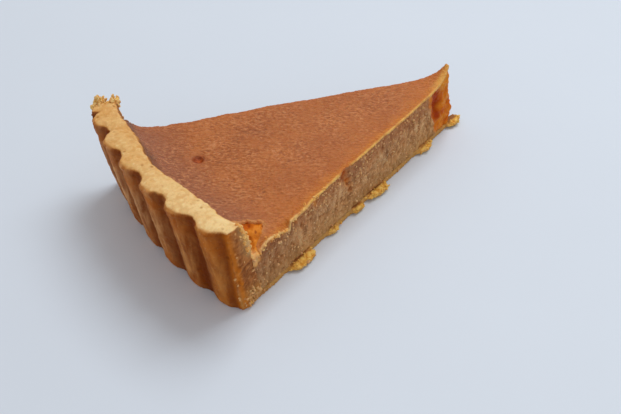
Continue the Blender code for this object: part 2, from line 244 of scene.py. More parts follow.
class SlicePlaces:
    """Where each point of a piece lies in the slice, in millimetres."""

    def __init__(self, points, normals):
        # The distance and bearing from the tip's axis, the height, and the direction to the tip
        flat = points - np.array(TIP_AXIS) / MM
        self.radius = np.hypot(flat[:, 0], flat[:, 1])
        self.bearing = np.arctan2(-flat[:, 1], -flat[:, 0])
        self.height = points[:, 2]
        self.up = normals[:, 2]
        self.to_tip = -flat / np.maximum(self.radius, 1.0)[:, None]
        self.to_tip[:, 2] = 0.0

        # The distance inside each cut, the distance along the near one, and which points face out
        self.near_gap = -(flat @ np.array(NEAR_OUT))
        self.far_gap = -(flat @ np.array(FAR_OUT))
        self.along_near = -(flat[:, 0] * math.cos(HALF_ANGLE) + flat[:, 1] * math.sin(HALF_ANGLE))
        self.near_face = smooth(normals @ np.array(NEAR_OUT), 0.4, 0.75) * smooth(self.near_gap, 2.2, 1.2)
        self.far_face = smooth(normals @ np.array(FAR_OUT), 0.4, 0.75) * smooth(self.far_gap, 2.2, 1.2)

        # How far the wall's inner face is from the tip's axis at each point's bearing and height
        wave = WALL_WAVE * np.cos(2.0 * math.pi * self.bearing / WALL_WAVE_PITCH)
        below_rim = np.clip(1.0 - self.height / RIM_HEIGHT, 0.0, 1.0)
        self.wall_inner = WALL_INNER + wave - WALL_LEAN * below_rim ** 1.3

    def patches(self, rows):
        """Round patches of the near cut: each has its strength in the middle and 0 from its edge on."""
        total = np.zeros(len(self.height))
        for along, height, reach, strength in rows:
            away = np.hypot(self.along_near - along, self.height - height)
            total += strength * (1.0 - smooth(away, 0.0, reach))
        return total * smooth(self.near_gap, 4.0, 2.0)

    def droop(self):
        """How far the top edge of the near cut sags beside the torn corner, in millimetres."""
        start = smooth(self.along_near, DROOP_START - 0.8, DROOP_START)
        stretch = start * (1.0 - smooth(self.along_near, DROOP_START, DROOP_END))
        by_edge = (1.0 - smooth(self.near_gap, 0.0, 2.6)) * smooth(self.height, 12.5, 16.5)
        return DROOP_DEPTH * stretch * by_edge

    def over_pit(self, bottom, edge):
        """1 in the middle of the burst bubble in the skin and 0 from its edge on."""
        gap = np.hypot(self.radius - PIT_RADIUS, self.radius * (self.bearing - PIT_BEARING))
        return 1.0 - smooth(gap, bottom, edge)

    def torn_gap(self):
        """Distance to the edge of the torn corner, negative over the part where the skin is gone."""
        path = np.array(TORN_EDGE)
        gap = np.full(len(self.height), 1000.0)
        for start, end in zip(path[:-1], path[1:]):
            leg = end - start
            to_point = np.stack([self.along_near, self.near_gap], 1) - start
            share = np.clip(to_point @ leg / (leg @ leg), 0.0, 1.0)
            gap = np.minimum(gap, np.hypot(*(to_point - np.outer(share, leg)).T))
        limit = np.interp(self.near_gap, path[:, 1], path[:, 0])
        torn = (self.along_near > limit) & (self.near_gap < path[-1, 1])
        return np.where(torn, -gap, gap)


def inside_slice(point, margin):
    """Whether a point is inside both cuts, and clear of the wall, by a margin."""
    flat = Vector((point.x, point.y, 0.0)) - TIP_AXIS
    clear_of_cuts = -flat.dot(NEAR_OUT) > margin and -flat.dot(FAR_OUT) > margin
    return clear_of_cuts and flat.length < FILLING_REACH * MM - margin


# The fluted crust

def sculpt_crust(crust):
    """Crooks the rim, tears the far end, roughens the surfaces and keeps masks of where each is."""
    points, normals = read_points(crust)
    place = SlicePlaces(points, normals)
    z = place.height

    # Which surface each point belongs to
    rim_top = smooth(place.up, 0.5, 0.82) * smooth(z, 27.5, 30.5)
    near_face = place.near_face * (1.0 - rim_top)
    far_end = np.maximum(place.far_face, smooth(place.far_gap, 2.6, -0.3) * smooth(z, 24.0, 30.0))
    torn = np.maximum(near_face, far_end)
    floor_fade = smooth(z, 0.15, 1.2)
    flakes = smooth(place.near_gap, -0.25, -0.9) * (1.0 - smooth(z, 2.4, 3.4))
    outer = smooth(place.radius - place.wall_inner, 2.0, 5.0) * (1.0 - torn) * (1.0 - rim_top)
    inner = smooth(place.wall_inner + 1.5 - place.radius, 0.0, 1.0) * (1.0 - torn) * (1.0 - rim_top)
    turns = (HOLLOW_AT_NEAR_CUT - place.bearing) / FLUTE_PITCH
    hollow = (0.5 + 0.5 * np.cos(2.0 * math.pi * turns)) * smooth(place.radius - place.wall_inner, 2.0, 4.0)

    # Crooked edges of the rim
    around = np.stack([place.bearing * WALL_MIDDLE, z * 0.35, place.radius * 0.1], 1)
    inner_edge = hump(place.radius, place.wall_inner, 2.0) * smooth(z, 23.0, 29.0)
    outer_edge = smooth(place.radius, 119.0, 122.0) * smooth(z, 25.0, 29.5)
    sideways = inner_edge * (0.4 * lumps(around, 4.0, 2.0) + 0.3 * lumps(around, 1.7, 4.0))
    sideways += outer_edge * (0.35 * lumps(around, 3.2, 6.0) + 0.25 * lumps(around, 1.5, 7.0))
    points += place.to_tip * (sideways * (1.0 - torn))[:, None]

    # Shallower hollows below the rim, the ledge at the near end and the prongs at the far one
    clear_of_ends = smooth(place.near_gap, 2.0, 8.0) * smooth(place.far_gap, 0.5, 3.0)
    points -= place.to_tip * (0.6 * hollow * smooth(z, 14.0, 27.0) * clear_of_ends)[:, None]
    ledge = smooth(place.near_gap, 4.0, 1.0) * hump(place.radius, place.wall_inner, 2.0)
    ledge *= hump(z, 25.0, 5.0)
    points += place.to_tip * (ledge * (1.3 + 0.7 * lumps(points, 1.6, 19.0)))[:, None]
    crest = smooth(place.far_gap, 2.5, 0.0) * smooth(z, 27.0, 31.0)
    prongs = hump(place.radius, PRONG_INNER, 0.9) + hump(place.radius, PRONG_OUTER, 1.6)
    points[:, 2] += crest * (2.0 * prongs - 1.3)

    # Crumbly relief
    coarse = lumps(points, 2.3, 9.0, octaves=3.0)
    fine = grains(points, 1.25, 11.0)
    ripples = lumps(points, 1.7, 13.0, octaves=3.0)
    streaks = lumps(points, 1.5, 17.0, stretch=(1.0, 1.0, 5.0), octaves=3.0)
    holes = pores(points, 3.3, 0.4, 21.0)
    relief = near_face * (0.12 * coarse + 0.10 * fine) + far_end * (0.85 * coarse + 0.4 * fine)
    relief += (1.0 - torn) * (0.15 * ripples + rim_top * (0.14 * coarse + 0.6 * holes))
    relief += outer * (0.20 * streaks + holes)
    relief += 0.8 * outer * smooth(-np.degrees(place.bearing), 5.0, 13.0) * hump(z, 17.0, 11.0)
    relief += flakes * (0.4 * coarse + 0.2 * fine)
    write_points(crust, points + normals * (relief * floor_fade)[:, None])

    # Masks for the material
    by_inner_edge = hump(place.radius, place.wall_inner + 0.2, 1.7) * smooth(z, 18.0, 22.0)
    store_mask(crust, "rim_top", rim_top)
    store_mask(crust, "rim_border", hump(place.up, 0.55, 0.28) * smooth(z, 27.0, 29.5) * (1.0 - torn))
    store_mask(crust, "near_end", smooth(place.bearing, -0.1, 0.3))
    store_mask(crust, "torn", torn)
    store_mask(crust, "far_end", far_end * smooth(z, 4.0, 20.0))
    store_mask(crust, "hollow", hollow ** 0.7)
    store_mask(crust, "inner", inner)
    store_mask(crust, "under_rim_browning_and_shade", outer * hump(z, 27.0, 4.0))
    store_mask(crust, "flakes", flakes)
    by_base = near_face * (1.0 - smooth(z, 2.2, 3.4)) * (1.0 - smooth(place.radius, 104.0, 110.0))
    store_mask(crust, "base_edge", np.maximum(by_base, 0.6 * near_face * (1.0 - smooth(z, 3.0, 10.0))))
    on_corner = near_face * hump(place.radius, 121.8 - 0.2 * (RIM_HEIGHT - z), 0.9)
    beside_corner = 0.9 * outer * (1.0 - smooth(place.near_gap, 0.4, 3.0))
    store_mask(crust, "outer_corner", np.maximum(on_corner, beside_corner))
    store_mask(crust, "low", 1.0 - z / 14.0)
    store_mask(crust, "front", outer * (1.0 - smooth(place.near_gap, 2.0, 11.0)))
    store_mask(crust, "cream_edge", np.maximum(near_face, ledge) * by_inner_edge)
    store_mask(crust, "raised", smooth(0.6 * coarse + 0.5 * fine + 0.3 * ripples, -0.35, 0.75))


def make_crust():
    """Fluted wall and base of shortcrust, crumbly where it was cut and torn."""
    crust = copy_of_solid("pastry_shell", "fluted_crust")
    apply_modifier(crust, "REMESH", mode="VOXEL", voxel_size=CRUST_VOXEL, use_smooth_shade=True)

    def under_filling(centre, normal):
        on_base = normal.z > 0.9 and 1.5 * MM < centre.z < 3.0 * MM
        return on_base and inside_slice(centre, 2.0 * MM)

    merge_hidden_faces(crust, lambda centre, normal: normal.z < -0.9 and centre.z < 0.3 * MM)
    merge_hidden_faces(crust, under_filling)
    sculpt_crust(crust)
    crust.data.materials.append(crust_material())
    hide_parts("pastry_shell")
    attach(crust, "root")
    return crust


# The sugar filling

def sculpt_filling(filling):
    """Crumbles the cuts, breaks the tip, sinks the top under the skin and keeps the masks."""
    points, normals = read_points(filling)
    place = SlicePlaces(points, normals)
    z = place.height

    # Which surface each point belongs to
    top = smooth(place.up, 0.35, 0.75) * smooth(z, 11.0, 14.0)
    cut = np.maximum(place.near_face, place.far_face) * (1.0 - top)
    tip_limit = 9.5 + 0.40 * z + 1.6 * lumps(points, 4.0, 29.0)
    tip = 1.0 - smooth(place.radius - tip_limit, -0.9, 0.9)
    torn_corner = smooth(place.torn_gap(), 1.6, -0.4) * smooth(z, 13.0, 15.5)
    to_wall = smooth(place.radius, FILLING_REACH - 3.0, FILLING_REACH)
    to_wall *= (1.0 - cut) * (1.0 - top) * (1.0 - torn_corner)
    to_base = smooth(-place.up, 0.5, 0.9)

    # Crumb on the cuts, dragged along them, and a glassy break at the tip
    coarse = lumps(points, 2.8, 31.0, octaves=3.0)
    fine = grains(points, 1.5, 33.0)
    leaning = points + np.outer(0.6 * z, (1.0, 0.33, 0.0))
    drags = lumps(leaning, 1.1, 35.0, stretch=(1.0, 1.0, 3.6), octaves=3.0)
    crevices = -smooth(-lumps(points, 2.6, 37.0, stretch=(1.0, 1.0, 2.4)), 0.28, 0.5)
    holes = pores(points, 2.7, 1.0, 39.0)
    speck = grains(points, 0.9, 34.0)
    crumb = 0.20 * coarse + 0.17 * fine + 0.13 * speck + 0.20 * drags + 0.16 * crevices + 0.18 * holes
    gouge = place.patches(GOUGES)
    glass = 0.55 * lumps(points, 3.2, 43.0, octaves=2.0) + 0.22 * lumps(points, 1.4, 45.0)
    bulge = 0.3 * hump(z, 10.0, 6.5) * (1.0 - smooth(place.radius, 2.0, 7.0))
    relief = cut * (1.0 - tip) * (crumb - 0.9 * gouge) + tip * (1.0 - top) * (glass + bulge)
    relief += 0.35 * np.maximum(to_wall, to_base)
    relief -= (0.45 + 1.1 * place.over_pit(1.2, 2.6)) * top * (1.0 - torn_corner)
    relief += torn_corner * (0.5 + 0.5 * coarse + 0.35 * drags)
    points += normals * relief[:, None]
    points[:, 2] -= place.droop()
    write_points(filling, points)

    # Masks for the material
    store_mask(filling, "tip", tip)
    store_mask(filling, "pocket", place.patches(DARK_POCKETS))
    store_mask(filling, "upper_tip", smooth(z, 17.5, 21.0) * tip)
    store_mask(filling, "low", 1.0 - (z - 3.0) / 9.0)
    store_mask(filling, "shade_under_skin_edge", cut * smooth(z, 13.5, 18.0))
    store_mask(filling, "by_wall", cut * smooth(place.radius, 84.0, 106.0))
    store_mask(filling, "orange", 0.8 * gouge + 1.2 * torn_corner + place.patches(GROOVES))
    store_mask(filling, "raised", smooth(crumb, -0.42, 0.42))
    store_mask(filling, "cream", torn_corner * smooth(place.wall_inner - place.radius, 4.6, 1.4))


def make_filling():
    """Set brown sugar filling, crumbly and dragged on both cuts."""
    filling = copy_of_solid("filling", "sugar_filling")
    apply_modifier(filling, "REMESH", mode="VOXEL", voxel_size=FILLING_VOXEL, use_smooth_shade=True)
    merge_hidden_faces(filling, lambda centre, normal: normal.z < -0.9 and centre.z < 3.2 * MM)
    sculpt_filling(filling)
    filling.data.materials.append(filling_material())
    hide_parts("filling")
    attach(filling, "root")
    return filling


# The baked skin on the filling

def over_torn_corner(centre):
    """Whether a point of the skin lies over the corner where the skin is torn away."""
    here = SlicePlaces(np.array([centre]) / MM, np.array([[0.0, 0.0, 1.0]]))
    return here.torn_gap()[0] < 0.6 * noise.noise(Vector(centre) / (2.0 * MM))


def sculpt_skin(skin):
    """Wrinkles the skin, makes its edges ragged, bursts its bubble and keeps the masks."""
    points, normals = read_points(skin)
    place = SlicePlaces(points, normals)

    # A ragged edge along both cuts
    near_edge = 1.0 - smooth(place.near_gap, 0.0, 2.0)
    far_edge = 1.0 - smooth(place.far_gap, 0.0, 2.0)
    shredded = hump(place.along_near, 93.0, 12.0) + 0.7 * hump(place.along_near, 70.0, 6.0)
    ragged = 0.10 + (0.15 + 0.45 * shredded) * lumps(points, 3.4, 51.0)
    torn_gap = place.torn_gap()
    moved = points + np.outer(near_edge * ragged, NEAR_OUT) + np.outer(far_edge * 0.7 * ragged, FAR_OUT)

    # Fine wrinkles, blisters and a slow swell, the burst bubble, and the flap beside the torn corner
    turned = points @ np.array(Matrix.Rotation(-WRINKLE_TURN, 3, "Z")).T
    wrinkles = 0.11 * lumps(turned, 1.0, 55.0, stretch=(1.9, 1.0, 1.0))
    blisters = 0.16 * smooth(grains(points, 5.5, 59.0), 0.82, 1.0)
    swell = 0.14 * lumps(points, 10.0, 63.0)
    lip = 0.22 * hump(place.near_gap, 0.3, 0.8)
    flap = smooth(place.near_gap, 4.5, 6.5) * hump(torn_gap, 0.3, 1.5)
    pit = place.over_pit(0.7, 2.1)
    wall_edge = smooth(place.wall_inner - place.radius, 3.6, 1.2) * (1.0 - smooth(place.near_gap, 20.0, 10.0))
    relief = smooth(place.up, 0.2, 0.7) * (wrinkles + blisters + swell)
    relief += wall_edge * (pores(points, 1.9, 0.4, 71.0) + 0.15 * lumps(points, 1.4, 73.0))
    moved += normals * relief[:, None]
    moved[:, 2] += lip - (0.9 + 0.3 * lumps(points, 0.9, 75.0)) * pit
    moved[:, 2] += flap * (1.1 + 0.8 * lumps(points, 2.0, 67.0)) - place.droop()
    write_points(skin, moved)

    # Masks for the material
    band = hump(place.near_gap, 1.1, 0.8) * (0.5 + 0.5 * hump(place.along_near, 50.0, 26.0))
    store_mask(skin, "edge_highlight", hump(place.near_gap, 0.1, 0.34))
    store_mask(skin, "pale_stretch", smooth(place.along_near, 84.0, 97.0))
    store_mask(skin, "below_line", hump(place.near_gap, -0.9, 0.7) * (1.0 - smooth(place.up, 0.3, 0.7)))
    store_mask(skin, "band", band)
    store_mask(skin, "near_glow", np.exp(-place.near_gap.clip(0) / 3.4))
    store_mask(skin, "far_glow", np.exp(-place.far_gap.clip(0) / 2.2))
    store_mask(skin, "tip", 1.0 - smooth(place.radius, 5.0, 28.0))
    peak = smooth(place.height, 20.0, 23.0) * (1.0 - smooth(place.radius, 9.0, 18.0))
    store_mask(skin, "peak", peak * (1.0 - smooth(place.near_gap, 1.0, 3.2)))
    store_mask(skin, "sheen_towards_wall", smooth(place.radius, 88.0, 112.0))
    store_mask(skin, "wall_edge", wall_edge)
    store_mask(skin, "pit", place.over_pit(1.3, 2.4))
    store_mask(skin, "pit_edge", hump(place.over_pit(0.6, 3.0), 0.55, 0.3))
    store_mask(skin, "side", 1.0 - smooth(place.up, 0.1, 0.6))
    store_mask(skin, "torn_edge", hump(torn_gap, 0.0, 1.1))


def make_skin():
    """Thin baked skin, lifted off the filling's own top and a little ragged at the cuts."""
    skin = copy_of_solid("filling", "baked_skin")
    select_faces(skin, lambda centre, normal: normal.z > 0.42 and centre.z > 14 * MM)
    bpy.ops.mesh.select_all(action="INVERT")
    bpy.ops.mesh.delete(type="FACE")
    bpy.ops.mesh.select_all(action="SELECT")
    bpy.ops.mesh.tris_convert_to_quads()
    bpy.ops.object.mode_set(mode="OBJECT")
    apply_modifier(skin, "SUBSURF", levels=2, render_levels=2, boundary_smooth="PRESERVE_CORNERS")
    select_faces(skin, lambda centre, normal: over_torn_corner(centre))
    bpy.ops.mesh.delete(type="FACE")
    bpy.ops.object.mode_set(mode="OBJECT")
    apply_modifier(skin, "SOLIDIFY", thickness=SKIN_THICKNESS, offset=-0.8)
    apply_modifier(skin, "REMESH", mode="VOXEL", voxel_size=SKIN_VOXEL, use_smooth_shade=True)
    pit_centre = TIP_AXIS - PIT_RADIUS * Vector((math.cos(PIT_BEARING), math.sin(PIT_BEARING), 0.0)) * MM

    def hidden(centre, normal):
        clear_of_pit = math.hypot(centre.x - pit_centre.x, centre.y - pit_centre.y) > 5.0 * MM
        return normal.z < -0.8 and clear_of_pit and inside_slice(centre, 3.0 * MM)

    merge_hidden_faces(skin, hidden, angle=4.0)
    sculpt_skin(skin)
    skin.data.materials.append(skin_material())
    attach(skin, "root")
    return skin


# Loose crumbs

def model_crumb(seed):
    """One uneven crumb, about a millimetre across, shaped from a coarse ball."""
    deselect_all()
    radius = 0.5 * CRUMB_MODEL_SIZE
    bpy.ops.mesh.primitive_ico_sphere_add(subdivisions=2, radius=radius, location=(0.0, 0.0, 0.0))
    crumb = bpy.context.object
    points, normals = read_points(crumb)
    points *= 1.0 + 0.8 * lumps(points, 0.6, seed, octaves=3.0)[:, None]
    write_points(crumb, points)
    bpy.ops.object.mode_set(mode="EDIT")
    bpy.ops.mesh.select_all(action="SELECT")
    bpy.ops.transform.resize(value=(1.25, 1.0, 0.75))
    bpy.ops.object.mode_set(mode="OBJECT")
    crumb.data.shade_flat()
    return crumb


def spots_on(piece, chance, count, randoms):
    """Points and normals of a finished surface, picked with the given chance for each point."""
    points, normals = read_points(piece)
    place = SlicePlaces(points, normals)
    weights = np.clip(chance(place), 0.0, None)
    chosen = randoms.choices(range(len(points)), weights=weights.tolist(), k=count)
    return [(Vector(points[index]) * MM, Vector(normals[index])) for index in chosen]


def scatter(name, spots, models, sizes, sink, randoms, material):
    """Copies the crumb models onto the spots, each its own size and turn, and joins them."""
    crumbs = []
    for spot, normal in spots:
        crumb = bpy.data.objects.new(name, randoms.choice(models).data.copy())
        size = randoms.triangular(sizes[0], sizes[1], sizes[0])
        turn = Euler([randoms.uniform(0.0, 2.0 * math.pi) for _ in range(3)]).to_matrix().to_4x4()
        lifted = spot + normal * size * CRUMB_MODEL_SIZE * (0.5 - sink)
        crumb.data.transform(Matrix.Translation(lifted) @ turn @ Matrix.Scale(size, 4))
        bpy.context.scene.collection.objects.link(crumb)
        crumbs.append(crumb)
    deselect_all()
    for crumb in crumbs:
        crumb.select_set(True)
    bpy.context.view_layer.objects.active = crumbs[0]
    bpy.ops.object.join()
    joined = crumbs[0]
    joined.name = name
    joined.data.materials.clear()
    joined.data.materials.append(material)
    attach(joined, "root")


def make_crumbs(crust, filling, skin):
    """Crumbs on the torn far end, the near cut, the wall's and the skin's edges, and the flakes."""
    randoms = random.Random(7)
    models = [model_crumb(seed) for seed in (3.0, 14.0, 27.0, 41.0)]
    pale = crumb_material("pale_crumb", (236, 190, 130), (204, 148, 90))
    toasted = crumb_material("toasted_crumb", (248, 216, 152), (222, 168, 92))
    golden = crumb_material("golden_crumb", (250, 206, 112), (230, 174, 78))
    sugar = crumb_material("sugar_crumb", (236, 192, 136), (204, 150, 98))
    buttery = crumb_material("buttery_crumb", (248, 208, 136), (236, 164, 80))

    def on_far_end(place):
        on_break = place.far_face * smooth(place.height, 20.0, 29.0)
        prongs = hump(place.radius, PRONG_INNER, 1.0) + 1.3 * hump(place.radius, PRONG_OUTER, 1.5)
        on_top = smooth(place.far_gap, 3.0, 0.0) * smooth(place.height, 29.0, 32.0)
        return 0.7 * on_break + on_top * (0.15 + 2.5 * prongs)

    def on_cut_corner(place):
        by_outer_edge = 0.5 * hump(place.radius, 119.0, 1.3) * hump(place.height, 11.0, 5.0)
        by_base = hump(place.radius, 111.5, 3.5) * hump(place.height, 4.0, 3.0)
        return place.near_face * (by_outer_edge + by_base + 0.04)

    def on_inner_edge(place):
        by_edge = hump(place.radius, place.wall_inner + 0.2, 1.2) * smooth(place.height, 18.0, 22.0)
        return np.maximum(place.near_face, 0.5) * by_edge * (1.0 - smooth(place.near_gap, 0.5, 3.0))

    def on_flakes(place):
        outside = smooth(place.near_gap, 0.0, -0.8)
        return outside * (1.0 - smooth(place.height, 1.8, 3.2)) * smooth(place.up, -0.2, 0.4)

    def on_near_cut(place):
        return place.near_face * smooth(place.radius, 19.0, 24.0) * (0.35 + smooth(place.height, 13.0, 18.0))

    def on_skin_edge(place):
        ragged = 0.05 + hump(place.along_near, 100.0, 5.5) + 0.3 * hump(place.along_near, 80.0, 8.0)
        return hump(place.near_gap, 0.1, 0.5) * ragged * smooth(place.radius, 25.0, 40.0)

    # Each kind's name, surface, chance, count, sizes in millimetres, share sunk in, finish and slot
    kinds = (
        ("far_end_crumbs", crust, on_far_end, 230, (0.4, 1.5), 0.2, toasted, "crust"),
        ("corner_crumbs", crust, on_cut_corner, 80, (0.35, 1.2), 0.4, pale, "crust"),
        ("inner_edge_crumbs", crust, on_inner_edge, 45, (0.4, 1.4), 0.45, buttery, "crust"),
        ("foot_crumbs", crust, on_flakes, 110, (0.35, 1.2), 0.3, golden, "crust"),
        ("cut_crumbs", filling, on_near_cut, 260, (0.3, 1.0), 0.4, sugar, "filling"),
        ("edge_crumbs", skin, on_skin_edge, 70, (0.4, 1.1), 0.5, buttery, "filling"),
    )
    for name, piece, chance, count, sizes, sink, material, slot in kinds:
        spots = spots_on(piece, chance, count, randoms)
        scatter(name, spots, models, sizes, sink, randoms, material)
    for model in models:
        bpy.data.objects.remove(model)


# Materials

class Finish:
    """A procedural material in the making: its nodes and its shader."""

    def __init__(self, name, roughness, glow=(1.0, 0.2, 0.1), **shader_values):
        self.material = bpy.data.materials.new(name)
        self.material.use_nodes = True
        self.tree = self.material.node_tree
        self.shader = self.tree.nodes["Principled BSDF"]
        self.shader.inputs["Roughness"].default_value = roughness
        self.shader.inputs["Subsurface Radius"].default_value = glow
        for key, value in shader_values.items():
            self.shader.inputs[key.replace("_", " ")].default_value = value
        self.coordinates = self.node("ShaderNodeTexCoord").outputs["Object"]

    def node(self, kind, **settings):
        """Adds a node with the given settings."""
        made = self.tree.nodes.new(kind)
        for key, value in settings.items():
            setattr(made, key, value)
        return made

    def put(self, socket, value):
        """Links an output to a socket, or sets a plain value on it."""
        if isinstance(value, bpy.types.NodeSocket):
            self.tree.links.new(value, socket)
        else:
            socket.default_value = value

    def mask(self, name):
        """The values that a mask of this name holds on the piece."""
        return self.node("ShaderNodeAttribute", attribute_name=name).outputs["Fac"]

    def noise(self, scale, detail=4.0, roughness=0.6, stretch=(1.0, 1.0, 1.0), turn=0.0):
        """Soft noise in the piece's own space, stretched along a turned axis where wanted."""
        mapping = self.node("ShaderNodeMapping", vector_type="TEXTURE")
        mapping.inputs["Scale"].default_value = stretch
        mapping.inputs["Rotation"].default_value = (0.0, 0.0, turn)
        self.put(mapping.inputs["Vector"], self.coordinates)
        texture = self.node("ShaderNodeTexNoise")
        self.put(texture.inputs["Vector"], mapping.outputs["Vector"])
        texture.inputs["Scale"].default_value = scale
        texture.inputs["Detail"].default_value = detail
        texture.inputs["Roughness"].default_value = roughness
        return texture.outputs["Fac"]

    def cells(self, scale):
        """Distance to the nearest of many scattered dots."""
        texture = self.node("ShaderNodeTexVoronoi", feature="F1")
        self.put(texture.inputs["Vector"], self.coordinates)
        texture.inputs["Scale"].default_value = scale
        return texture.outputs["Distance"]

    def between(self, value, low, high, start=0.0, end=1.0):
        """Maps a value from low..high to start..end, held at both ends."""
        ranger = self.node("ShaderNodeMapRange", clamp=True)
        for socket, content in zip(ranger.inputs, (value, low, high, start, end)):
            self.put(socket, content)
        return ranger.outputs["Result"]

    def combine(self, first, second, operation, clamp=True):
        maths = self.node("ShaderNodeMath", operation=operation, use_clamp=clamp)
        self.put(maths.inputs[0], first)
        self.put(maths.inputs[1], second)
        return maths.outputs["Value"]

    def sum(self, first, second):
        return self.combine(first, second, "ADD", clamp=False)

    def product(self, first, second):
        return self.combine(first, second, "MULTIPLY")

    def larger(self, first, second):
        return self.combine(first, second, "MAXIMUM")

    def blend(self, share, first, second, mode="MIX"):
        """Mixes two colours by a share; each is an output or an (r, g, b) in sRGB from 0 to 255."""
        mixer = self.node("ShaderNodeMix", data_type="RGBA", blend_type=mode)
        self.put(mixer.inputs[0], share)
        for socket, content in ((mixer.inputs[6], first), (mixer.inputs[7], second)):
            self.put(socket, content if isinstance(content, bpy.types.NodeSocket) else linear(content))
        return mixer.outputs[2]

    def stain(self, under, name, strength, colour):
        """Lays a colour over another where a mask is set, at the given strength."""
        return self.blend(self.product(self.mask(name), strength), under, colour)

    def bump(self, height, strength, distance):
        """Fine relief, too small to model, from a height that varies over the surface."""
        relief = self.node("ShaderNodeBump")
        relief.inputs["Strength"].default_value = strength
        relief.inputs["Distance"].default_value = distance
        self.put(relief.inputs["Height"], height)
        self.put(self.shader.inputs["Normal"], relief.outputs["Normal"])

    def finished(self, colour, roughness=None):
        """Gives the shader its colour, and its roughness where that varies."""
        self.put(self.shader.inputs["Base Color"], colour)
        if roughness is not None:
            self.put(self.shader.inputs["Roughness"], roughness)
        return self.material


def linear(colour):
    """An sRGB colour from 0 to 255 as the linear values that a shader takes."""
    shares = [part / 255.0 for part in colour]
    values = [part / 12.92 if part <= 0.04045 else ((part + 0.055) / 1.055) ** 2.4 for part in shares]
    return (*values, 1.0)


def crust_material():
    """Baked shortcrust: pale and sandy on the rim, deep golden brown on the flutes."""
    finish = Finish(
        "shortcrust", 0.72, glow=(1.0, 0.5, 0.25),
        Subsurface_Weight=0.1, Subsurface_Scale=2.0 * MM, Specular_IOR_Level=0.07,
    )
    broad = finish.noise(110.0, detail=3.0)
    fine = finish.noise(900.0, detail=6.0, roughness=0.7)
    streaks = finish.noise(420.0, detail=5.0, stretch=(1.0, 1.0, 6.0))
    stains = finish.noise(230.0, detail=4.0)
    raised = finish.mask("raised")

    # The fluted wall: streaked, browned at its foot, browned with painted shade under the rim, and darkest in
    # the hollows, where the shade is painted
    far_wall = finish.blend(finish.between(streaks, 0.4, 0.62), (164, 102, 56), (220, 166, 116))
    near_wall = finish.blend(finish.between(streaks, 0.4, 0.62), (152, 83, 30), (206, 137, 72))
    wall = finish.blend(finish.mask("near_end"), far_wall, near_wall)
    # Browning with painted shade under the rim's overhang
    wall = finish.stain(wall, "under_rim_browning_and_shade", finish.between(broad, 0.35, 0.6, 0.4, 0.85), (190, 102, 26))
    wall = finish.stain(wall, "front", finish.between(stains, 0.4, 0.6, 0.0, 0.4), (204, 116, 34))
    wall = finish.stain(wall, "low", finish.between(stains, 0.45, 0.6, 0.1, 0.7), (206, 112, 22))
    wall = finish.blend(finish.between(finish.cells(620.0), 0.16, 0.08, 0.0, 0.35), wall, (222, 176, 128))
    # Painted shade, darkest deep in the flute hollows
    wall = finish.stain(wall, "hollow", finish.between(broad, 0.3, 0.6, 0.75, 0.95), (108, 44, 2))

    # The top of the rim: pale and sandy, with toasted specks, small pits, painted shade in its low places,
    # painted light towards its near end and a browned border
    rim = finish.blend(finish.between(broad, 0.35, 0.65), (218, 166, 104), (228, 184, 124))
    # Painted light: the near end of the rim painted paler, where the lamps leave it darker
    rim = finish.stain(rim, "near_end", 0.85, (250, 218, 160))
    rim = finish.blend(finish.between(stains, 0.5, 0.8, 0.0, 0.45), rim, (216, 156, 82))
    rim = finish.blend(finish.between(fine, 0.55, 0.7, 0.0, 0.5), rim, (250, 226, 180))
    rim = finish.blend(finish.between(fine, 0.42, 0.28, 0.0, 0.45), rim, (190, 130, 66))
    # Painted shade in the rim's low places between lumps
    rim = finish.blend(finish.between(raised, 0.5, 0.0, 0.0, 0.3), rim, (186, 122, 54))
    rim = finish.blend(finish.between(finish.cells(300.0), 0.2, 0.08, 0.0, 0.65), rim, (150, 92, 40))
    rim = finish.stain(rim, "rim_border", 0.75, (206, 126, 38))

    # The crumb at the cuts, the golden crumb of the torn end and the flakes, both with painted light and
    # shade by their relief, the painted shade of the wall's inner face, and all in its place
    # Painted light and shade: darker in the low places between raised crumbs, paler on the raised ones
    crumb = finish.blend(raised, (132, 75, 36), (180, 112, 60))
    crumb = finish.blend(finish.between(fine, 0.52, 0.68, 0.0, 0.35), crumb, (222, 170, 116))
    # Painted light and shade in the golden crumb too: darker where low, paler where raised
    golden = finish.blend(raised, (212, 148, 60), (250, 206, 114))
    colour = finish.blend(finish.mask("rim_top"), wall, rim)
    # Painted shade on the wall's inner face
    colour = finish.stain(colour, "inner", 0.85, (132, 84, 46))
    colour = finish.blend(finish.mask("torn"), colour, crumb)
    colour = finish.stain(colour, "far_end", 0.85, golden)
    colour = finish.blend(finish.mask("flakes"), colour, golden)
    colour = finish.stain(colour, "base_edge", 0.8, (206, 156, 88))
    colour = finish.stain(colour, "outer_corner", 0.75, (206, 116, 26))
    colour = finish.stain(colour, "cream_edge", 0.9, (226, 182, 124))
    colour = finish.blend(finish.between(fine, 0.3, 0.7, 0.0, 0.35), colour, (255, 236, 205), "SOFT_LIGHT")
    finish.bump(finish.sum(fine, finish.product(broad, 0.4)), 0.4, 0.6 * MM)
    return finish.finished(colour, finish.between(streaks, 0.35, 0.65, 0.5, 0.85))


